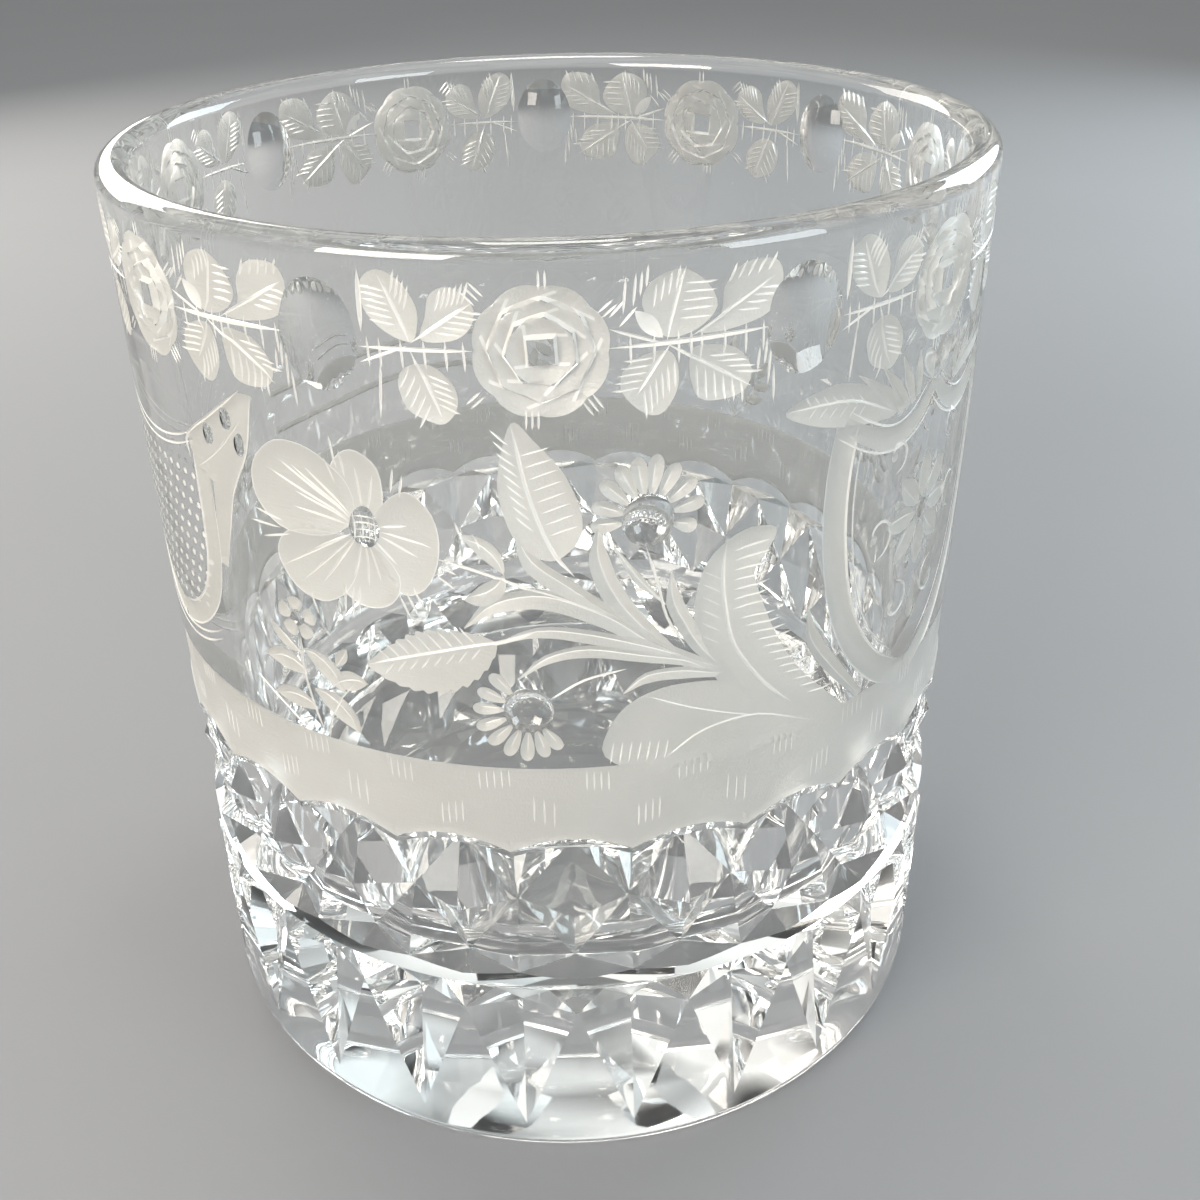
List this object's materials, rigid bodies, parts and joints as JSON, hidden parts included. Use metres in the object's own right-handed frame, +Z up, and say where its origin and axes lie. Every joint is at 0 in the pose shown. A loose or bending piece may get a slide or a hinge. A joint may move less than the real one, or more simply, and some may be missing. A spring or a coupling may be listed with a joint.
{
  "type": "whiskey tumbler",
  "caption": "Straight-sided cut and engraved clear glass tumbler with a heavy fluted base, a belt of diamond cuts, a frosted band and a floral frieze under the rim.",
  "frame": {"origin": "centre of the resting face at the bottom of the foot", "axes": "+Z up along the glass's axis, -Y towards the front panel between the two engraved shields"},
  "size_m": [0.0826, 0.0826, 0.093],
  "materials": {
    "clear_glass": "polished clear crystal with matt engraved and ground areas"
  },
  "bodies": {
    "root": {"tumbler_body": "clear_glass"}
  },
  "joints": []
}
